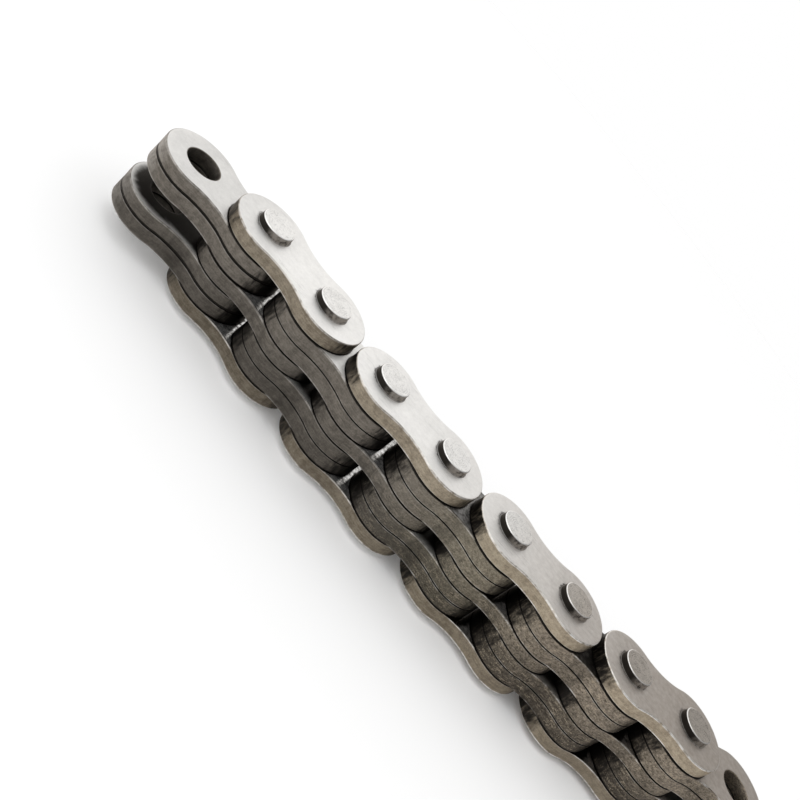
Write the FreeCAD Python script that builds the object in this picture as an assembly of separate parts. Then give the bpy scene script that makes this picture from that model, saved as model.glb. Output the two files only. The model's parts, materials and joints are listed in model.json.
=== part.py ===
import FreeCAD, Part
import math
import os

from FreeCAD import Placement, Rotation, Vector

# A length of leaf chain, lying on its side with its pins upright.
# Every second link is a pin link, with two riveted pins. The links between are slip-fit inner plates.
# The origin is the middle of the clevis hole at the far end, +Z runs along the pins,
# and +X runs along the middle link, from the near end to the far end.
# Sizes are in millimetres and degrees.

# Plates
pitch = 19.05
plate_height = 18.1
waist_height = 14.2
plate_thickness = 3.25
side_clearance = 0.06
plate_edge_radius = 0.3

# Pins, with the ring of metal that riveting leaves against the outer plate
pin_diameter = 7.94
pin_projection = 1.65
pin_edge_radius = 0.35
rivet_ring_width = 0.28
rivet_ring_height = 0.3

# Slip-fit holes of the inner plates
running_clearance = 0.05
hole_chamfer = 0.2

# Lacing across the width: where each plate sits, counted in rows from the middle of the pins
pin_link_sides = ("top", "middle", "bottom")
pin_link_rows = (3, 0, -3)
inner_link_rows = (2, 1, -1, -2)

# Length, how far the chain bends at each pin as it lies, and how far the two lower plates
# of the near end, which hang loose on their pin, have swung away from the two upper ones
pin_link_count = 4
lying_bends = (-4.3, 2.5, 3.7, 3.0, -1.1, 4.1, 6.4, 1.5)
lower_pair_swing = 6.4

pin_radius = pin_diameter / 2
slip_hole_radius = pin_radius + running_clearance
row_spacing = plate_thickness + side_clearance
half_width_over_plates = max(pin_link_rows) * row_spacing + plate_thickness / 2
half_pin_length = half_width_over_plates + pin_projection
link_count = 2 * pin_link_count + 1
middle_link = 2 * ((link_count - 1) // 4)
near_pin = Vector(0, 0, 0)
far_pin = Vector(pitch, 0, 0)


def plate_blank():
    """One waisted plate, centred on its own row, with its edges rounded and no holes yet."""
    end_radius = plate_height / 2
    half_waist = waist_height / 2
    waist_radius = ((pitch / 2) ** 2 + half_waist ** 2 - end_radius ** 2) / (2 * (end_radius - half_waist))
    lean = math.atan2(half_waist + waist_radius, pitch / 2)
    touch = Vector(end_radius * math.cos(lean), end_radius * math.sin(lean), 0)
    upper_near = touch
    upper_far = Vector(pitch - touch.x, touch.y, 0)
    lower_near = Vector(touch.x, -touch.y, 0)
    lower_far = Vector(pitch - touch.x, -touch.y, 0)
    edges = [
        Part.Arc(lower_near, Vector(-end_radius, 0, 0), upper_near).toShape(),
        Part.Arc(upper_near, Vector(pitch / 2, half_waist, 0), upper_far).toShape(),
        Part.Arc(upper_far, Vector(pitch + end_radius, 0, 0), lower_far).toShape(),
        Part.Arc(lower_far, Vector(pitch / 2, -half_waist, 0), lower_near).toShape(),
    ]
    outline = Part.Face(Part.Wire(edges))
    outline.translate(Vector(0, 0, -plate_thickness / 2))
    blank = outline.extrude(Vector(0, 0, plate_thickness))
    rims = [edge for edge in blank.Edges if edge.BoundBox.ZLength < plate_edge_radius]
    return blank.makeFillet(plate_edge_radius, rims)


def press_plate():
    """A plate of a pin link: its two holes grip the pins."""
    plate = plate_blank()
    for centre in (near_pin, far_pin):
        start = centre - Vector(0, 0, plate_thickness)
        plate = plate.cut(Part.makeCylinder(pin_radius, 2 * plate_thickness, start))
    return plate


def slip_plate():
    """An inner plate: its two holes run on the pins and are chamfered on both faces."""
    plate = plate_blank()
    mouth_radius = slip_hole_radius + hole_chamfer
    for centre in (near_pin, far_pin):
        start = centre - Vector(0, 0, plate_thickness)
        plate = plate.cut(Part.makeCylinder(slip_hole_radius, 2 * plate_thickness, start))
        for side in (1, -1):
            mouth = centre + Vector(0, 0, side * plate_thickness / 2)
            inward = Vector(0, 0, -side)
            plate = plate.cut(Part.makeCone(mouth_radius, slip_hole_radius, hole_chamfer, mouth, inward))
    return plate


def riveted_pin():
    """A pin with rounded ends, and a rivet ring seated on each outer plate."""
    pin = Part.makeCylinder(pin_radius, 2 * half_pin_length, Vector(0, 0, -half_pin_length))
    rims = [edge for edge in pin.Edges if edge.BoundBox.ZLength < pin_edge_radius]
    pin = pin.makeFillet(pin_edge_radius, rims)
    for side in (1, -1):
        seat = Vector(0, 0, side * half_width_over_plates)
        outward = Vector(0, 0, side)
        foot_radius = pin_radius + rivet_ring_width
        pin = pin.fuse(Part.makeCone(foot_radius, pin_radius, rivet_ring_height, seat, outward))
    return pin.removeSplitter()


def save(shape, name, place, row=0):
    """Put a copy of the shape in its link, at its row, and write it as one file."""
    solid = shape.Solids[0].copy()
    solid.translate(Vector(0, 0, row * row_spacing))
    solid.Placement = place.multiply(solid.Placement)
    solid.exportStep(f"parts/{name}.step")


def bend_at(pin_number):
    """The turn from one link to the next at a pin."""
    return lying_bends[(pin_number - 1) % len(lying_bends)]


def reach(heading):
    """From one pin to the next, along a heading."""
    return Rotation(Vector(0, 0, 1), heading).multVec(far_pin)


def lie(start, heading):
    """Where a link lies, from the place of its near pin and its heading."""
    return Placement(start, Rotation(Vector(0, 0, 1), heading))


os.makedirs("parts", exist_ok=True)
press = press_plate()
slip = slip_plate()
pin = riveted_pin()

# Headings of the links, with the middle link along X, and the places of the pins and end holes
headings = [-sum(bend_at(number) for number in range(1, middle_link + 1))]
for number in range(1, link_count):
    headings.append(headings[-1] + bend_at(number))
places = [Vector(0, 0, 0)]
for heading in headings:
    places.append(places[-1] + reach(heading))
places = [place - places[-1] for place in places]

# Pin links
for number in range(1, pin_link_count + 1):
    link = 2 * number - 1
    here = lie(places[link], headings[link])
    there = lie(places[link + 1], headings[link])
    for side, row in zip(pin_link_sides, pin_link_rows):
        save(press, f"pin_link_{number}_{side}_plate", here, row)
    save(pin, f"pin_link_{number}_near_pin", here)
    save(pin, f"pin_link_{number}_far_pin", there)

# Inner links between the pin links, and the far end, whose outer holes are open
for link in range(2, link_count, 2):
    name = "far_end" if link == link_count - 1 else f"inner_link_{link // 2}"
    for number, row in enumerate(inner_link_rows, start=1):
        save(slip, f"{name}_plate_{number}", lie(places[link], headings[link]), row)

# Near end, whose plates swing on the first pin
for number, row in enumerate(inner_link_rows, start=1):
    heading = headings[0]
    if row < 0:
        heading += lower_pair_swing
    save(slip, f"near_end_plate_{number}", lie(places[1] - reach(heading), heading), row)
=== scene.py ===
import json
import math

import bmesh
import bpy
from mathutils import Matrix, Vector, geometry, noise


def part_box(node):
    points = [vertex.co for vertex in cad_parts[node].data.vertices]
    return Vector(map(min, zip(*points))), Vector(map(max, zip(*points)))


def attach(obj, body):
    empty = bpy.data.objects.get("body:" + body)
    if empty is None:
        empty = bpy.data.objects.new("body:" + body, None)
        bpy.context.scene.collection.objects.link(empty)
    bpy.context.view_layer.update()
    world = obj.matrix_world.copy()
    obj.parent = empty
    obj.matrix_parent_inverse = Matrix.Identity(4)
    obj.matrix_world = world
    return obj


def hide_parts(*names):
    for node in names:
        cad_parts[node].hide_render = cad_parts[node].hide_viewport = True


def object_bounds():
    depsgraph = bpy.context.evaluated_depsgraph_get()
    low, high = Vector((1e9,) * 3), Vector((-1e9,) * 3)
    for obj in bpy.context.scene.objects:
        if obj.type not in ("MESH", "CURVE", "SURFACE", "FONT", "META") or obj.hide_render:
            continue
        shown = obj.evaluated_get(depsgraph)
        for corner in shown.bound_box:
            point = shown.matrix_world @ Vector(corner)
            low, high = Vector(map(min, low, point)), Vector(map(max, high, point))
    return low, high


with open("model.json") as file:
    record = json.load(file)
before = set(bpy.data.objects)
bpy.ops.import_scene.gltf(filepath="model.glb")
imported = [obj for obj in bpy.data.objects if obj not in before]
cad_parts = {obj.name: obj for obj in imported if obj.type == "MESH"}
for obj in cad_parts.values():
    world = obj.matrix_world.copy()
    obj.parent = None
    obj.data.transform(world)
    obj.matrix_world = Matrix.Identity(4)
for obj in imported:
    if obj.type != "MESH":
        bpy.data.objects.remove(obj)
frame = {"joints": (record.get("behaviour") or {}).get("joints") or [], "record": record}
cad_low, cad_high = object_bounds()

# How the chain lies
# Nine links of leaf chain lie on their side on a table, one after another, with a slight bend at
# every pin. The joints give each pin's place and the mounts give the open holes at both ends.
# The two lower plates of the near end have swung a little away from the two upper ones.
mm = 0.001
holes = {mount["name"]: Vector(mount["pos_m"]) for mount in frame["record"]["mounts"]}
pin_places = sorted({tuple(joint["pos_m"]) for joint in frame["joints"]})
joint_places = [holes["near_end_upper_clevis_hole"]]
joint_places += [Vector(place) for place in pin_places]
joint_places += [holes["far_end_clevis_hole"]]
joint_places = [Vector((place.x, place.y, 0)) for place in joint_places]
lower_hole = holes["near_end_lower_clevis_hole"]
pitch = (joint_places[1] - joint_places[0]).length
bodies = frame["record"]["behaviour"]["bodies"]
node_body = {node: body for body, nodes in bodies.items() for node in nodes}


def lie_of(link, row):
    """Where a plate lies: its near hole at the origin and its far hole along +X."""
    near = joint_places[link]
    if link == 0 and row < 0:
        near = Vector((lower_hole.x, lower_hole.y, 0))
    along = joint_places[link + 1] - near
    return Matrix.Translation(near) @ Matrix.Rotation(math.atan2(along.y, along.x), 4, "Z")


def place_piece(mesh, name, node, material):
    """Shows a finished mesh in place of its node, riding on the node's body."""
    piece = bpy.data.objects.new(name, mesh)
    bpy.context.scene.collection.objects.link(piece)
    mesh.materials.append(material)
    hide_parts(node)
    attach(piece, node_body[node])


def join_rings(sheet, rings):
    """Skins neighbouring rings of equal count with quads."""
    for ring, following in zip(rings, rings[1:]):
        for index, vertex in enumerate(ring):
            after = (index + 1) % len(ring)
            sheet.faces.new((vertex, ring[after], following[after], following[index]))


def rolled_edge(radius, steps):
    """Inset and drop of a quarter round, from the flat face out to the wall."""
    for step in range(steps + 1):
        angle = math.pi / 2 * step / steps
        yield radius * (1 - math.sin(angle)), radius * (1 - math.cos(angle))


def ramp(value, start, end):
    """A smooth step from 0 at start to 1 at end."""
    share = min(1, max(0, (value - start) / (end - start)))
    return share * share * (3 - 2 * share)


# Lacing
# Pin links have plates in the top, middle and bottom rows. Inner links have theirs in the rows
# between, two above and two below the middle. Counted in rows from the middle of the pins.
pin_links = range(1, 5)
outer_row = 3
pin_link_rows = {"top": outer_row, "middle": 0, "bottom": -outer_row}
inner_links = {"near_end": 0, "inner_link_1": 2, "inner_link_2": 4, "inner_link_3": 6, "far_end": 8}
inner_rows = {1: 2, 2: 1, 3: -1, 4: -2}
last_link = inner_links["far_end"]
lacing = {}
for number in pin_links:
    for side, row in pin_link_rows.items():
        lacing[f"pin_link_{number}_{side}_plate"] = (2 * number - 1, row)
for name, link in inner_links.items():
    for number, row in inner_rows.items():
        lacing[f"{name}_plate_{number}"] = (link, row)


# Steel plates
# Every plate is blanked from cold-rolled strip, so one face has a rolled-over edge and the other
# a sharper one, with a burnished band and a rougher fracture zone between them. The plates are
# heat-treated and tumbled, which leaves satin faces, browned edges and a few nicks along the rims.
waist_height = 14.2 * mm
low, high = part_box("inner_link_2_plate_1")
end_radius = (high.y - low.y) / 2
plate_thickness = high.z - low.z
half_waist = waist_height / 2
waist_radius = ((pitch / 2) ** 2 + half_waist ** 2 - end_radius ** 2) / (2 * (end_radius - half_waist))
waist_centre = half_waist + waist_radius
lean = math.atan2(waist_centre, pitch / 2)
roll_radius = 0.28 * mm
burr_radius = 0.18 * mm
burnished_share = 0.45
fracture_draft = 0.03 * mm
face_margin = 0.25 * mm
lip_width = 0.14 * mm
nick_depth = 0.07 * mm
nick_length = 1.6 * mm
small_nick_length = 0.7 * mm
nick_rarity = 0.45
hole_steps = 96
coarse_grid = 1.35 * mm
fine_grid = 0.27 * mm
flat_tolerance = 0.01 * mm
sharp_angle = math.radians(38)
foot_shade_width = 0.8 * mm
foot_shadow_and_grime = 0.42
shadowed_side = math.radians(170)
bore_oil_and_shade = 0.42
bore_calm = 0.85
waist_calm = 0.7
pocket_oil_and_shade = 0.8
corner_oil_and_shade = 0.44
far_face_oil_and_shade = 0.75
seam_shade = 0.95
seam_width = 0.35 * mm


def plate_outline(inset):
    """The waisted outline, drawn in by an inset, going round from the upper waist of the near end."""
    end_steps = 64
    waist_steps = 24
    arcs = [
        (0, 0, end_radius - inset, lean, 2 * math.pi - lean, end_steps),
        (pitch / 2, -waist_centre, waist_radius + inset, math.pi - lean, lean, waist_steps),
        (pitch, 0, end_radius - inset, lean - math.pi, math.pi - lean, end_steps),
        (pitch / 2, waist_centre, waist_radius + inset, -lean, lean - math.pi, waist_steps),
    ]
    for x, y, radius, start, end, steps in arcs:
        for step in range(steps):
            angle = start + (end - start) * step / steps
            yield Vector((x + radius * math.cos(angle), y + radius * math.sin(angle), 0))


def depth_inside(x, y):
    """How far a place is inside the outline of a plate that lies along X, or outside it if negative."""
    beside = abs(x - pitch / 2)
    below_centre = waist_centre - abs(y)
    if math.atan2(below_centre, beside) > lean:
        return math.hypot(beside, below_centre) - waist_radius
    end = 0 if x < pitch / 2 else pitch
    return end_radius - math.hypot(x - end, y)


def plates_at(row, *links):
    """The plates of a row in these links, as the turns that bring each of them back along X."""
    return [lie_of(link, row).inverted() for link in links if (link, row) in lacing.values()]


def depth_under(spot, plates):
    """The deepest that a place is inside any of these plates, or outside them if negative."""
    seen = [home @ Vector((spot.x, spot.y, 0)) for home in plates]
    return max([depth_inside(local.x, local.y) for local in seen], default=-pitch)


def shows_wet(row, side):
    """Whether this face is one that shows between the ends of the plates on it, wet and shiny."""
    return row == 0 or abs(row) == outer_row and abs(row + side) == outer_row - 1


def calm_share(row, side):
    """How evenly the oiling and painted shade lie on this face: smooth in the pockets and under the
    outer plates.
    """
    if abs(row) == outer_row:
        return 0
    return {0: 0.85, outer_row: 0.6}.get(abs(row + side), 0)


def face_oil_and_shade(local, spot, link, row, side, plates):
    """Oiling and painted shade on a flat face: black under the next plate, painted dark in the pockets
    but less at their lit rims, less in the wet corners between plate ends, where the far links are
    black again on the side towards the near end, and on the outside more towards the far end."""
    covered = ramp(depth_under(spot, plates), -0.5 * mm, 0.12 * mm)
    exposed = 0
    if row + side == 0:
        less_shade, lit_rim_width = (0.45, 2.8 * mm) if link else (0.28, 1.8 * mm)
        depth = depth_inside(local.x, local.y)
        exposed = less_shade + (pocket_oil_and_shade - less_shade) * ramp(depth, 0.3 * mm, lit_rim_width)
    elif shows_wet(row, side):
        exposed = corner_oil_and_shade
        if link > 4:
            from_nearer_plate = depth_under(spot, plates[:1])
            exposed = max(exposed, ramp(from_nearer_plate, -3.2 * mm, -0.6 * mm))
    elif 0 < link < last_link and abs(row) == 2:
        exposed = far_face_oil_and_shade * ramp(link, 1.5, 5)
    return max(covered, exposed)


def near_waist(x):
    """From 0 to 1 as a place on the edge comes near the middle of the waist."""
    return ramp(abs(x - pitch / 2), 4.5 * mm, 1.5 * mm)


def wall_oil_and_shade(spot, x, link, row, plates):
    """Oiling and painted shade on the edge: most where the plate's end nearly meets the next one of
    its row, painted shade with some oiling round both ends, and a little on the waist."""
    outer = abs(row) == outer_row
    inner = row != 0 and not outer
    most = 0.52 if outer else 0.86
    near_tip_oil_and_shade = 0.66 if outer else 0.6 if inner else 0.7
    # Where the end nearly meets the next plate of its row, and round both tips, the edge is painted
    # dark as shade with some oiling.
    oil_and_shade = most * ramp(depth_under(spot, plates), -8.6 * mm, -1.4 * mm)
    if link > 0:
        oil_and_shade = max(oil_and_shade, (near_tip_oil_and_shade + 0.01 * link) * ramp(-x, 1.7 * mm, 7.2 * mm))
    if link < last_link and inner:
        oil_and_shade = max(oil_and_shade, 0.62 * ramp(x - pitch, 2.5 * mm, 7 * mm))
    # The waist is painted darker as shade where the plates above keep the light off, on the lower rows
    # and in the far links.
    if not outer and (row < 1 or link > 3):
        oil_and_shade = max(oil_and_shade, (0.42 if row else 0.38) * near_waist(x))
    return oil_and_shade


def wall_profile():
    """Inset, height and share of rounding down the edge, from the rolled face to the burr face."""
    half = plate_thickness / 2
    yield roll_radius + face_margin, half, 1
    roll_steps = 7
    for step, (inset, drop) in enumerate(rolled_edge(roll_radius, roll_steps)):
        yield inset, half - drop, 1 - step / roll_steps
    yield 0, half - roll_radius - lip_width, 0
    fracture_top = half - burnished_share * plate_thickness
    yield 0, (half - roll_radius + fracture_top) / 2, 0
    yield 0, fracture_top, 0
    burr_end = -half + burr_radius
    for share in (0.25, 0.5, 0.75, 1 - lip_width / (fracture_top - burr_end)):
        yield fracture_draft * share, fracture_top + (burr_end - fracture_top) * share, 0
    burr_steps = 4
    for step, (inset, rise) in enumerate(reversed(list(rolled_edge(burr_radius, burr_steps)))):
        yield fracture_draft + inset, -half + rise, step / burr_steps
    yield fracture_draft + burr_radius + face_margin, -half, 1


def nick(point, rounding):
    """How far a bump has pushed the rim in: rare, shallow dents on the two rounded edges only."""
    if not 0 < rounding < 1:
        return 0
    bump = noise.noise(point / nick_length) + 0.35 * noise.noise(point / small_nick_length)
    return nick_depth * max(0, bump - nick_rarity)


def bore_profile(radius, mouth):
    """Radius and height through a punched hole, from one face to the other."""
    half = plate_thickness / 2
    yield radius + mouth + face_margin + foot_shade_width, half
    yield radius + mouth + face_margin, half
    yield radius + mouth, half
    yield radius + mouth * 0.4, half - mouth * 0.4
    yield radius, half - mouth
    yield radius, mouth - half
    yield radius + mouth * 0.4, mouth * 0.4 - half
    yield radius + mouth, -half
    yield radius + mouth + face_margin, -half
    yield radius + mouth + face_margin + foot_shade_width, -half


def face_spots(lie, plates):
    """Places inside a face: a coarse grid, and a fine one where the next plate's outline crosses it."""
    split = round(coarse_grid / fine_grid)
    across = math.ceil(end_radius / coarse_grid) + 1
    ahead = math.ceil((pitch + end_radius) / coarse_grid) + 1
    for column in range(-across, ahead + 1):
        for line in range(-across, across + 1):
            x = column * coarse_grid
            y = line * coarse_grid
            if abs(depth_under(lie @ Vector((x, y, 0)), plates)) > coarse_grid:
                yield x, y
                continue
            for part in range(split * split):
                fine = Vector((part % split - split // 2, part // split - split // 2)) * fine_grid
                from_outline = abs(depth_under(lie @ Vector((x + fine.x, y + fine.y, 0)), plates))
                if from_outline < 2.5 * fine_grid:
                    yield x + fine.x, y + fine.y


def blanked_plate(node, hole_radius, hole_mouth, rolled_side_up, material):
    """One plate, blanked, punched, tumbled and oiled, in the place of its node."""
    link, row = lacing[node]
    low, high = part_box(node)
    middle_height = (low.z + high.z) / 2
    side = 1 if rolled_side_up else -1
    lie = lie_of(link, row)
    facing = {upper: plates_at(row + upper, link - 1, link, link + 1) for upper in (1, -1)}
    beside = plates_at(row, link - 2, link + 2)
    calm = {upper: calm_share(row, upper) for upper in (1, -1)}
    # The near end's rims are painted light for rubbing by handling and as painted highlight, and a
    # rim keeps less of that where it faces another plate and shade falls
    handled_highlight = 0.9 if row > 0 else 0.45
    kept_highlight = {0: 0.65, 4: 0.5, 6: 0.5}.get(link, 0.3)
    sheet = bmesh.new()
    # The steel reads these at each vertex: how much oiling and painted shade it has, how ragged the
    # edge of that dark is there, whether it is a wet face that shows between plate ends, and how
    # light its rim is painted, as rubbing and painted highlight
    oil_and_shade = sheet.verts.layers.float.new("oil_and_shade")
    patchy = sheet.verts.layers.float.new("patchy")
    wet = sheet.verts.layers.float.new("wet")
    rubbed_and_highlit = sheet.verts.layers.float.new("rubbed_and_highlit")

    def vertex(local, height, spot_oil_and_shade, spot_calm, spot_rub_and_highlight=0):
        spot = lie @ Vector((local.x, local.y, 0))
        made = sheet.verts.new((spot.x, spot.y, middle_height + height))
        made[oil_and_shade] = spot_oil_and_shade
        made[patchy] = 1 - spot_calm
        on_flat = abs(height) > plate_thickness / 2 - flat_tolerance
        made[wet] = on_flat and shows_wet(row, 1 if height > 0 else -1)
        made[rubbed_and_highlit] = spot_rub_and_highlight
        return made

    rings = []
    for inset, height, rounding in wall_profile():
        ring = []
        upper = 1 if side * height > 0 else -1
        for local, inner in zip(plate_outline(inset), plate_outline(inset + mm)):
            spot = lie @ local
            dent = nick(Vector((spot.x, spot.y, middle_height + side * height)), rounding)
            local = local + (inner - local).normalized() * dent
            sunk = side * height - upper * dent * 0.6
            on_wall = wall_oil_and_shade(spot, local.x, link, row, beside)
            on_face = face_oil_and_shade(local, spot, link, row, upper, facing[upper])
            hidden = ramp(depth_under(spot, facing[upper]), -0.6 * mm, 0)
            spot_oil_and_shade = on_wall + (on_face - on_wall) * ramp(rounding, 0, 0.45 if hidden > 0.5 else 0.8)
            rub_and_highlight = 0
            if abs(height) >= plate_thickness / 2 - roll_radius:
                rub_and_highlight = (1 - (1 - kept_highlight) * hidden) * ramp(1 - rounding, 0, 0.3)
            # Where a rim hides against the next plate, the seam is painted near black as shade in the
            # gap.
            in_seam = link == 0 and upper < 0 or abs(row) == 2 and abs(row + upper) == outer_row
            if in_seam and abs(height) > plate_thickness / 2 - seam_width:
                spot_oil_and_shade = max(spot_oil_and_shade, seam_shade * hidden)
            if link == 0:
                rub_and_highlight = max(rub_and_highlight, handled_highlight * ramp(-local.x, 2 * mm, 9 * mm))
            spot_calm = max(calm[upper] * ramp(rounding, 0, 0.8), waist_calm * near_waist(local.x))
            ring.append(vertex(local, sunk, spot_oil_and_shade, spot_calm, rub_and_highlight))
        rings.append(ring)
    join_rings(sheet, rings)
    bores = []
    mouth_radius = hole_radius + hole_mouth + face_margin + foot_shade_width
    for centre in (0, pitch):
        bore = []
        for radius, height in bore_profile(hole_radius, hole_mouth):
            ring = []
            on_face = abs(height) > plate_thickness / 2 - hole_mouth / 2
            for step in range(hole_steps):
                turn = 2 * math.pi * step / hole_steps
                local = Vector((centre + radius * math.cos(turn), radius * math.sin(turn), 0))
                upper = 1 if side * height > 0 else -1
                # The bore walls are painted dark as oiling and shade.
                spot_oil_and_shade = bore_oil_and_shade
                spot_calm = bore_calm
                if on_face:
                    spot_oil_and_shade = face_oil_and_shade(local, lie @ local, link, row, upper, facing[upper])
                    spot_calm = calm[upper]
                    # A painted shadow with some dirt rings each pin's foot on the outer plates, darkest
                    # on one side.
                    if abs(row) == outer_row and radius < mouth_radius:
                        spot_oil_and_shade = max(spot_oil_and_shade, foot_shadow_and_grime * (0.7 + 0.6 * math.cos(turn - shadowed_side)))
                ring.append(vertex(local, side * height, spot_oil_and_shade, spot_calm))
            bore.append(ring)
        join_rings(sheet, bore)
        bores.append(bore)
    home = lie.inverted()
    for end in (0, -1):
        upper = side if end == 0 else -side
        rim = (roll_radius if end == 0 else fracture_draft + burr_radius) + face_margin
        loops = [rings[end], bores[0][end], bores[1][end]]
        corners = []
        edges = []
        for loop in loops:
            first = len(corners)
            corners += loop
            edges += [(first + index, first + (index + 1) % len(loop)) for index in range(len(loop))]
        flat = [(home @ corner.co).to_2d() for corner in corners]
        for x, y in face_spots(lie, facing[upper]):
            from_hole = min(math.hypot(x, y), math.hypot(x - pitch, y)) - mouth_radius
            if depth_inside(x, y) > rim + fine_grid and from_hole > fine_grid:
                local = Vector((x, y, 0))
                spot_oil_and_shade = face_oil_and_shade(local, lie @ local, link, row, upper, facing[upper])
                flat.append(local.to_2d())
                corners.append(vertex(local, upper * plate_thickness / 2, spot_oil_and_shade, calm[upper]))
        for face in geometry.delaunay_2d_cdt(flat, edges, [], 0, 1e-9)[2]:
            centre = sum((flat[index] for index in face), Vector((0, 0))) / 3
            from_hole = min(centre.length, (centre - Vector((pitch, 0))).length)
            if depth_inside(centre.x, centre.y) > rim and from_hole > mouth_radius:
                sheet.faces.new([corners[index] for index in face])
    bmesh.ops.recalc_face_normals(sheet, faces=sheet.faces[:])
    mesh = bpy.data.meshes.new(node)
    sheet.to_mesh(mesh)
    sheet.free()
    mesh.shade_smooth()
    mesh.set_sharp_from_angle(angle=sharp_angle)
    place_piece(mesh, f"{node}_blanked", node, material)


class Signal:
    """An output of a shader node, so that shader maths reads as plain sums and products."""

    def __init__(self, tree, output):
        self.tree = tree
        self.output = output

    def node(self, kind, settings, sockets, give=0):
        """Adds any node: its settings first, then the values or links of its sockets."""
        made = self.tree.nodes.new(kind)
        for name, value in settings.items():
            setattr(made, name, value)
        for name, value in sockets.items():
            if isinstance(value, Signal):
                self.tree.links.new(value.output, made.inputs[name])
            else:
                made.inputs[name].default_value = value
        return Signal(self.tree, made.outputs[give])

    def maths(self, operation, first, second=0.0):
        """One step of arithmetic on numbers."""
        return self.node("ShaderNodeMath", {"operation": operation}, {0: first, 1: second})

    def __add__(self, other):
        return self.maths("ADD", self, other)

    def __radd__(self, other):
        return self.maths("ADD", other, self)

    def __sub__(self, other):
        return self.maths("SUBTRACT", self, other)

    def __rsub__(self, other):
        return self.maths("SUBTRACT", other, self)

    def __mul__(self, other):
        return self.maths("MULTIPLY", self, other)

    def __rmul__(self, other):
        return self.maths("MULTIPLY", other, self)

    def __abs__(self):
        return self.maths("ABSOLUTE", self)

    def rise(self, start, end):
        """A smooth step from 0 at start to 1 at end."""
        settings = {"interpolation_type": "SMOOTHSTEP"}
        sockets = {"Value": self, "From Min": start, "From Max": end}
        return self.node("ShaderNodeMapRange", settings, sockets)

    def grain(self, size, detail=3.0, roughness=0.55):
        """Noise from 0 to 1 at this place, with features of that size in millimetres."""
        sockets = {"Vector": self, "Scale": 1 / size, "Detail": detail, "Roughness": roughness}
        return self.node("ShaderNodeTexNoise", {}, sockets)

    def stretched(self, turn, stretch):
        """This place turned by an angle about Z and scaled along each axis."""
        sockets = {"Vector": self, "Rotation": (0, 0, math.radians(turn)), "Scale": stretch}
        return self.node("ShaderNodeMapping", {}, sockets)

    def scratches(self, turn):
        """Fine short scratches that run one way."""
        return self.stretched(turn, (0.22, 5.5, 1)).grain(1.0, 1.0).rise(0.66, 0.76)

    def painted(self, name):
        """A value that the mesh carries at each of its vertices."""
        return self.node("ShaderNodeAttribute", {"attribute_name": name}, {}, give=2)

    def blend(self, first, second):
        """The first colour where this is 0 and the second where it is 1."""
        colours = [(*c, 1) if isinstance(c, tuple) else c for c in (first, second)]
        sockets = {0: self, 6: colours[0], 7: colours[1]}
        return self.node("ShaderNodeMix", {"data_type": "RGBA"}, sockets, give=2)

    def shade(self, colour):
        """The colour made lighter or darker by this number."""
        return colour.tint(self.node("ShaderNodeCombineXYZ", {}, {0: self, 1: self, 2: self}))

    def tint(self, colour):
        """This colour multiplied by another one."""
        return self.node("ShaderNodeVectorMath", {"operation": "MULTIPLY"}, {0: self, 1: colour})


def new_material(name):
    """A steel material and its surface shader, the place in millimetres, how far along the chain and
    how high it is, and how squarely the surface faces up or down."""
    material = bpy.data.materials.new(name)
    material.use_nodes = True
    tree = material.node_tree
    surface = tree.nodes["Principled BSDF"]
    surface.inputs["Metallic"].default_value = 0.85
    surface.inputs["Specular Tint"].default_value = (1, 0.95, 0.9, 1)
    coordinates = tree.nodes.new("ShaderNodeTexCoord")
    metres = Signal(tree, coordinates.outputs["Object"])
    place = metres.node("ShaderNodeVectorMath", {"operation": "SCALE"}, {0: metres, "Scale": 1000})
    normal = Signal(tree, coordinates.outputs["Normal"])
    upward = abs(normal.node("ShaderNodeSeparateXYZ", {}, {0: normal}, give=2))
    along = place.node("ShaderNodeSeparateXYZ", {}, {0: place}, give=0)
    height = place.node("ShaderNodeSeparateXYZ", {}, {0: place}, give=2)
    return material, surface, place, along, height, upward


def feed(surface, **signals):
    """Links signals to the surface's sockets, whose names have spaces for underscores."""
    for name, signal in signals.items():
        signal.tree.links.new(signal.output, surface.inputs[name.replace("_", " ")])


# Colours of the browned edges, their wear, rim highlight and the dark of oiling and painted shade
pit_brown = (0.028, 0.024, 0.02)
blotch_brown = (0.032, 0.027, 0.022)
worn_tan = (0.44, 0.37, 0.275)
olive_tint = (1.03, 1.03, 0.9)
russet_tint = (0.99, 0.94, 0.87)
rubbed_highlight_steel = (0.86, 0.84, 0.81)
oil_and_shade_black = (0.013, 0.0112, 0.0095)
wet_roughness = 0.11


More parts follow.
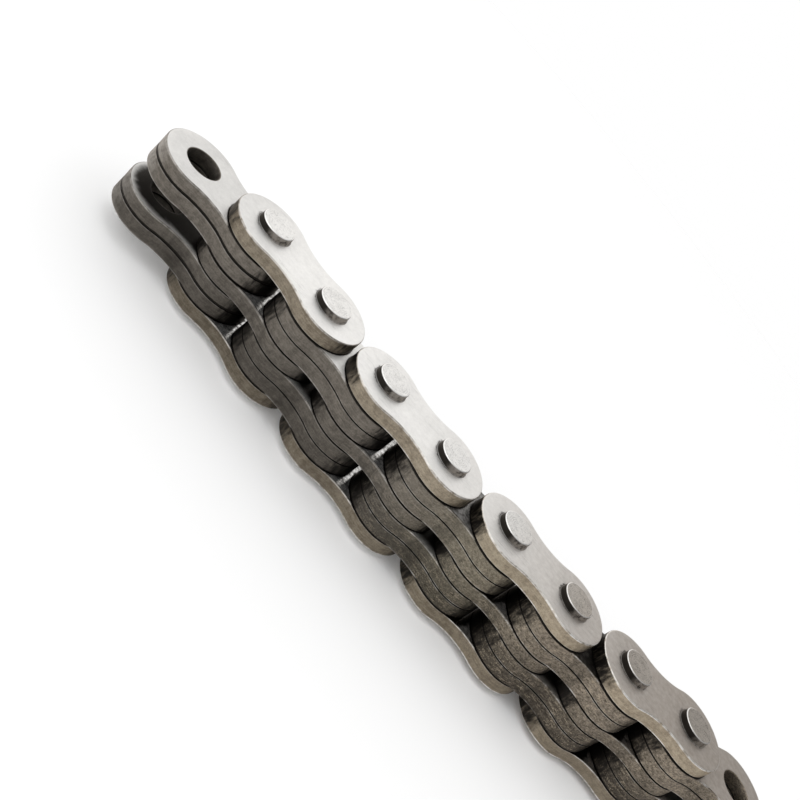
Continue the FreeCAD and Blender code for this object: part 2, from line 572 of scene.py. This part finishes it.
def satin_steel(name, face, stained_shaded_face, edge, edge_light, near_shade, grime_and_shade, rim_highlight_share):
    """Tumbled steel: satin faces, browned sheared edges, rims lightened by rubbing and painted
    highlight, and oiling with painted shade where plates meet. Towards the far end the faces darken
    with staining and painted shade, and the edges are browner and more worn."""
    material, surface, place, along, height, upward = new_material(name)
    oil_and_shade = place.painted("oil_and_shade")
    rub_and_highlight = place.painted("rubbed_and_highlit")
    cloud = place.grain(7.0, 2.0)
    mottle = place.grain(1.3, 5.0, 0.6)
    speck = place.grain(0.3, 3.0, 0.7)
    streak = place.stretched(0, (0.35, 0.35, 2.6)).grain(0.9, 3.0)
    smear = place.stretched(0, (1.2, 1.2, 0.4)).grain(1.0, 3.0, 0.6)
    far_wear_and_shade = along.rise(-128, -45)
    flat = upward.rise(0.9, 0.995)
    scratched = place.scratches(24) + place.scratches(-47) + place.scratches(81)
    scratched = scratched * cloud.rise(0.4, 0.6)
    # Towards the far end the faces darken and brown, partly staining and partly painted shade.
    stain_and_shade = along.rise(-108, -20) * (0.85 + 0.5 * (mottle - 0.5))
    clean = stain_and_shade.blend(face, stained_shaded_face)
    tone = 1.07 - 0.16 * speck - 0.2 * (mottle - 0.5) - 0.2 * scratched - 0.12 * (cloud - 0.5)
    clean = tone.shade(clean)
    clean = (0.82 + 0.18 * along.rise(-166, -140)).shade(clean)
    patch = (mottle * 0.6 + streak * 0.4 + 0.2 * (cloud - 0.5)).rise(0.34, 0.68)
    browned = patch.blend(edge, edge_light)
    # The edges are painted lighter higher up the stack and on the bottom plates, as painted light and
    # shade, more so towards the far end.
    lowest_row_light = (0 - height).rise(8.2, 8.6) * (0.14 + 0.3 * far_wear_and_shade)
    height_shade = 0.68 + 0.52 * height.rise(-7, 8) + 0.48 * height.rise(-11, 3) * far_wear_and_shade + lowest_row_light
    height_shade = height_shade + 0.28 * grime_and_shade * (height.rise(-4, 2) * far_wear_and_shade) - 0.11 * grime_and_shade * far_wear_and_shade
    browned = ((0.45 + 1.1 * speck) * height_shade).shade(browned)
    browned = (near_shade + (1 - near_shade) * along.rise(-140, -112)).shade(browned)
    pitted = speck.rise(0.6, 0.72) * mottle.rise(0.5, 0.66) * (0.35 + 0.65 * far_wear_and_shade)
    browned = (pitted * 0.75).blend(browned, pit_brown)
    rust = place.stretched(0, (1, 1, 1.6)).grain(0.8, 5.0, 0.75)
    browned = (1 + 4.0 * (grime_and_shade * (rust - 0.5) * far_wear_and_shade)).shade(browned)
    aged = browned.tint(along.rise(-84, -52).blend(olive_tint, russet_tint))
    browned = (grime_and_shade * along.rise(-108, -68)).blend(browned, aged)
    blotch = (0.3 * cloud + 0.35 * mottle + 0.35 * streak).rise(0.48, 0.58) * far_wear_and_shade
    browned = (0.7 * grime_and_shade * blotch).blend(browned, blotch_brown)
    worn = (0.5 * streak + 0.5 * speck).rise(0.51, 0.63) * far_wear_and_shade
    browned = (0.7 * grime_and_shade * worn).blend(browned, worn_tan)
    metal = flat.blend(browned, clean)
    # The rims are painted light, partly rubbing wear and partly painted highlight, less under oiling
    # and shade.
    bright = rub_and_highlight * (mottle - 0.16 * grime_and_shade * far_wear_and_shade).rise(0.2, 0.6) * (1 - oil_and_shade)
    metal = (bright * (rim_highlight_share + (1 - rim_highlight_share) * far_wear_and_shade)).blend(metal, rubbed_highlight_steel)
    ragged = place.painted("patchy") * (smear - 0.5) * oil_and_shade * (1 - oil_and_shade)
    # This dark layer is oiling together with painted shade in pockets, seams, gaps, bores and at the
    # pin feet.
    oil_and_shade_film = (oil_and_shade + 4.8 * ragged).rise(0.2, 0.8)
    metal = oil_and_shade_film.blend(metal, oil_and_shade_black)
    dull = 0.58 - 0.06 * flat - 0.16 * bright + 0.16 * (mottle - 0.5) - 0.1 * oil_and_shade_film + 0.1 * (speck - 0.5)
    relief = speck * (0.9 - 0.55 * flat) + mottle * (0.8 - 0.65 * flat) - 0.5 * scratched * flat
    bump = relief.node("ShaderNodeBump", {}, {"Strength": 0.4, "Distance": 0.00004, "Height": relief})
    dull = dull - (dull - wet_roughness) * place.painted("wet")
    feed(surface, Base_Color=metal, Roughness=dull, Normal=bump)
    return material


# Pin links
# A pin link is a top, a middle and a bottom plate, each gripping the same two pins with no play.
# The outer plates' edges came out of heat treatment a warmer brown than the plates between them.
low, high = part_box("pin_link_1_near_pin")
half_pin_length = (high.z - low.z) / 2
pin_radius = 3.97 * mm
outer_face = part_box("pin_link_1_top_plate")[1].z
press_mouth = 0.05 * mm
bare_face = (0.84, 0.83, 0.81)
stained_shaded_face = (0.43, 0.375, 0.325)
outer_edge = ((0.172, 0.143, 0.107), (0.315, 0.272, 0.21))
inner_edge = ((0.105, 0.093, 0.079), (0.19, 0.17, 0.146))
outer_wear_and_light = {"near_shade": 0.84, "grime_and_shade": 0.2, "rim_highlight_share": 0.6}
inner_wear_and_light = {"near_shade": 1.0, "grime_and_shade": 1.0, "rim_highlight_share": 0.25}
outer_steel = satin_steel("outer_plate_steel", bare_face, stained_shaded_face, *outer_edge, **outer_wear_and_light)
inner_steel = satin_steel("inner_plate_steel", bare_face, stained_shaded_face, *inner_edge, **inner_wear_and_light)
for number in pin_links:
    for side in pin_link_rows:
        steel = inner_steel if side == "middle" else outer_steel
        plate_node = f"pin_link_{number}_{side}_plate"
        blanked_plate(plate_node, pin_radius, press_mouth, side != "bottom", steel)


# Inner plates
# The inner links have four plates each, two on each side of the middle plates, with slip-fit
# holes chamfered for the pins. The chain is oiled by dipping, and between the plates the oiling is
# painted dark together with painted shade.
slip_radius = pin_radius + 0.05 * mm
slip_mouth = 0.2 * mm
for name in inner_links:
    for number in inner_rows:
        plate_node = f"{name}_plate_{number}"
        rolled_side_up = number % 2 == 1
        blanked_plate(plate_node, slip_radius, slip_mouth, rolled_side_up, inner_steel)


# Riveted pins
# The pins are case-hardened and ground, then riveted: the tool upsets a small ring of metal
# against the outer plate and leaves a slightly crowned, finely peened end with a rounded rim.
rim_radius = 0.26 * mm
flat_radius = pin_radius - rim_radius
wobble = 0.035 * mm
ring_width = 0.28 * mm
ring_height = 0.3 * mm
ring_seat = 0.3 * mm
foot_bare_highlight = 0.25
crown = 0.06 * mm
crown_steps = 24
peen_depth = 0.025 * mm
peen_margin = 0.4 * mm
peen_size = 0.9 * mm
small_peen_size = 0.4 * mm
turning_pitch_mm = 0.42
lit_side_turn = math.radians(-40)
peened_end = (0.78, 0.77, 0.75)
stained_shaded_end = (0.47, 0.43, 0.385)
rim_glint_steel = (0.93, 0.92, 0.9)
oiled_shaded_side = (0.02, 0.0175, 0.015)
lit_side_steel = (0.44, 0.40, 0.36)


def pin_profile():
    """Radius, height and share of bare metal up one end of a pin, to the middle of its end; on the
    riveted ring the share paints a highlight line.
    """
    yield pin_radius, 0, 0
    yield pin_radius, outer_face - ring_seat, 0
    yield pin_radius + ring_width, outer_face, 0
    ring_steps = 4
    for step in range(1, ring_steps + 1):
        turn = math.pi / 2 * step / ring_steps
        foot = pin_radius + ring_width * (1 - math.sin(turn))
        # The ring's crest takes a share of end colour as a painted highlight line.
        yield foot, outer_face + ring_height * (1 - math.cos(turn)), foot_bare_highlight if step < 3 else 0
    yield pin_radius, (outer_face + ring_height + half_pin_length - rim_radius) / 2, 0
    rim_steps = 7
    for step, (inset, drop) in enumerate(reversed(list(rolled_edge(rim_radius, rim_steps)))):
        yield pin_radius - inset, half_pin_length - drop, ramp(step / rim_steps, 0.1, 0.5)
    for step in range(1, crown_steps):
        share = 1 - step / crown_steps
        yield flat_radius * share, half_pin_length - crown * (1 - share ** 2) * 0.5, 1


def riveted_pin(node, place, material):
    """One pin with both ends riveted, in the place of its node."""
    steps = 88
    sheet = bmesh.new()
    bare = sheet.verts.layers.float.new("bare")
    less_shade = sheet.verts.layers.float.new("less_shade")
    from_axis = sheet.verts.layers.float.new("from_axis")
    rings = []
    profile = list(pin_profile())
    whole = [(radius, -height, -1, share) for radius, height, share in reversed(profile[1:])]
    whole += [(radius, height, 1, share) for radius, height, share in profile]
    for radius, height, side, share in whole:
        ring = []
        for step in range(steps):
            turn = 2 * math.pi * step / steps
            outward = Vector((math.cos(turn), math.sin(turn), 0))
            uneven = wobble * ramp(abs(height), outer_face, half_pin_length)
            uneven *= noise.noise(place / mm + outward * 1.3) * min(1, radius / flat_radius)
            spot = place + outward * (radius + uneven) + Vector((0, 0, height))
            if radius < flat_radius:
                cover = min(1, (flat_radius - radius) / peen_margin)
                mark = noise.noise(spot / peen_size) + 0.5 * noise.noise(spot / small_peen_size)
                spot.z -= side * peen_depth * cover * (0.5 + 0.5 * mark)
            made = sheet.verts.new(spot)
            made[bare] = share
            # One side of the wall is painted lighter, as a painted reflection.
            made[less_shade] = 0.5 + 0.5 * math.cos(turn - lit_side_turn)
            made[from_axis] = radius / mm
            ring.append(made)
        rings.append(ring)
    join_rings(sheet, rings)
    for ring in (rings[0], rings[-1]):
        sheet.faces.new(ring)
    bmesh.ops.recalc_face_normals(sheet, faces=sheet.faces[:])
    mesh = bpy.data.meshes.new(node)
    sheet.to_mesh(mesh)
    sheet.free()
    mesh.shade_smooth()
    mesh.set_sharp_from_angle(angle=sharp_angle)
    place_piece(mesh, f"{node}_riveted", node, material)


def riveted_steel(name):
    """Hardened pin steel: satin peened ends with faint turning rings and a painted rim glint, and
    oiled sides painted dark as shade, lighter on one side as a painted reflection.
    """
    material, surface, place, along = new_material(name)[:4]
    bare = place.painted("bare")
    from_axis = place.painted("from_axis")
    mottle = place.grain(0.9, 4.0)
    speck = place.grain(0.2, 3.0)
    far_wear_and_shade = along.rise(-84, -52)
    ripple = (from_axis + 0.5 * mottle) * (2 * math.pi / turning_pitch_mm)
    rings = ripple.maths("SINE", ripple).rise(-0.4, 1.0) * place.grain(1.8, 2.0).rise(0.42, 0.62)
    scuff = abs(place.grain(1.1, 2.0) - 0.5).rise(0.028, 0.0)
    scuff = scuff + abs(place.grain(0.8, 1.0) - 0.47).rise(0.02, 0.0)
    marked = (0.4 * rings + 0.5 * scuff + (0.3 + 0.5 * far_wear_and_shade) * (speck - 0.5)) * (0.6 + 0.4 * far_wear_and_shade)
    # Towards the far end the pin ends darken, partly staining and partly painted shade.
    end = far_wear_and_shade.blend(peened_end, stained_shaded_end)
    end = (1.04 - 0.75 * marked).shade(end)
    # The end's rim gets a painted glint besides a smoother finish.
    polished_glint = from_axis.rise(3.66, 3.8) * bare
    end = (0.65 * polished_glint).blend(end, rim_glint_steel)
    # The oiled sides are painted dark as shade, lighter on one side as a painted reflection.
    less_shade = place.painted("less_shade").rise(0.72, 0.98) * mottle.rise(0.25, 0.6)
    side = less_shade.blend(oiled_shaded_side, lit_side_steel)
    metal = bare.blend(side, end)
    dull = 0.46 + 0.12 * (mottle - 0.5) + 0.1 * marked + 0.06 * (1 - bare) - 0.14 * polished_glint
    relief = speck * 0.6 + 0.8 * mottle - 0.7 * rings * bare
    bump = relief.node("ShaderNodeBump", {}, {"Strength": 0.35, "Distance": 0.00004, "Height": relief})
    feed(surface, Base_Color=metal, Roughness=dull, Normal=bump)
    return material


pin_steel = riveted_steel("pin_steel")
for number in pin_links:
    for end in ("near", "far"):
        place = joint_places[2 * number - 1 if end == "near" else 2 * number]
        riveted_pin(f"pin_link_{number}_{end}_pin", place, pin_steel)


# Floor
# A plain white table top under the lower pin ends. It fades into the white background some way
# out, so that only the chain's soft shadow shows on it.
floor_fade = (0.24, 0.5)
floor_half = 0.6
floor_gap = 0.01 * mm
floor_white = (0.96, 0.96, 0.96, 1)
floor_mesh = bpy.data.meshes.new("floor")
corners = [(floor_half * x, floor_half * y, 0) for x, y in ((-1, -1), (1, -1), (1, 1), (-1, 1))]
floor_mesh.from_pydata(corners, [], [(0, 1, 2, 3)])
floor = bpy.data.objects.new("floor", floor_mesh)
bpy.context.scene.collection.objects.link(floor)
middle = (cad_low + cad_high) / 2
floor.location = (middle.x, middle.y, cad_low.z - floor_gap)
floor_paint = bpy.data.materials.new("floor_paint")
floor_paint.use_nodes = True
tree = floor_paint.node_tree
paint = tree.nodes["Principled BSDF"]
paint.inputs["Base Color"].default_value = floor_white
paint.inputs["Roughness"].default_value = 0.9
paint.inputs["Specular IOR Level"].default_value = 0.1
centre = Signal(tree, tree.nodes.new("ShaderNodeTexCoord").outputs["Object"])
reach = centre.node("ShaderNodeVectorMath", {"operation": "LENGTH"}, {0: centre}, give=1)
clear = centre.node("ShaderNodeBsdfTransparent", {}, {})
painted = Signal(tree, paint.outputs[0])
whole = centre.node("ShaderNodeMixShader", {}, {0: reach.rise(*floor_fade), 1: painted, 2: clear})
tree.links.new(whole.output, tree.nodes["Material Output"].inputs["Surface"])
floor_mesh.materials.append(floor_paint)


# Light
# A bright tent: white walls on the near side of the chain turn grey towards its far side, which
# the steel shows as a slow fall from white to grey along the chain. One large soft lamp hangs
# over the chain, and a weaker one stands in front.
world = bpy.data.worlds.new("tent")
bpy.context.scene.world = world
world.use_nodes = True
tree = world.node_tree
rays = tree.nodes.new("ShaderNodeLightPath")
direction = Signal(tree, tree.nodes.new("ShaderNodeTexCoord").outputs["Generated"])
camera_ray = Signal(tree, rays.outputs["Is Camera Ray"])
mirrored = Signal(tree, rays.outputs["Is Glossy Ray"])
mirrored = mirrored + Signal(tree, rays.outputs["Is Transmission Ray"])
wall_turn = math.radians(20)
grey_side = (math.cos(wall_turn), -math.sin(wall_turn), 0)
dot_sockets = {0: direction, 1: grey_side}
towards = direction.node("ShaderNodeVectorMath", {"operation": "DOT_PRODUCT"}, dot_sockets, give=1)
white_wall = 0.97
grey_wall = 0.19
walls = white_wall - (white_wall - grey_wall) * towards.rise(-0.15, 0.2)
soft_level = 0.82
level = camera_ray + (1 - camera_ray) * (mirrored * walls + (1 - mirrored) * soft_level)
tree.nodes["Background"].inputs["Color"].default_value = (1, 1, 1, 1)
tree.links.new(level.output, tree.nodes["Background"].inputs["Strength"])


def soft_lamp(name, place, aim, size, power):
    """A square soft lamp that points at the chain."""
    data = bpy.data.lights.new(name, "AREA")
    data.size = size
    data.energy = power
    lamp = bpy.data.objects.new(name, data)
    bpy.context.scene.collection.objects.link(lamp)
    lamp.location = place
    lamp.rotation_euler = (Vector(place) - Vector(aim)).to_track_quat("Z", "Y").to_euler()


chain_middle = Vector((middle.x, middle.y, 0))
soft_lamp("top_lamp", chain_middle + Vector((-0.15, 0.2, 0.95)), chain_middle, size=1.6, power=3.0)
soft_lamp("front_lamp", chain_middle + Vector((-0.5, -0.6, 0.65)), chain_middle, size=1.2, power=2.6)


# Camera
# It stands low over the chain's near end and leans to one side, so that the chain runs
# down across the picture, and it is close enough for the far links to look larger.
aim = Vector((-107.85, 14.148, 0)) * mm
distance = 247.1 * mm
azimuth = math.radians(-6.265)
elevation = math.radians(27.848)
lean_left = math.radians(52.428)
camera_data = bpy.data.cameras.new("camera")
camera_data.sensor_width = 36
camera_data.lens = 51.23
camera_data.clip_start = 0.005
camera = bpy.data.objects.new("camera", camera_data)
bpy.context.scene.collection.objects.link(camera)
flat = math.cos(elevation)
away = Vector((math.sin(azimuth) * flat, -math.cos(azimuth) * flat, math.sin(elevation)))
level_view = away.to_track_quat("Z", "Y").to_matrix().to_4x4()
turned = Matrix.Rotation(lean_left, 4, "Z")
camera.matrix_world = Matrix.Translation(aim + distance * away) @ level_view @ turned
bpy.context.scene.camera = camera
bpy.context.scene.view_settings.view_transform = "Standard"
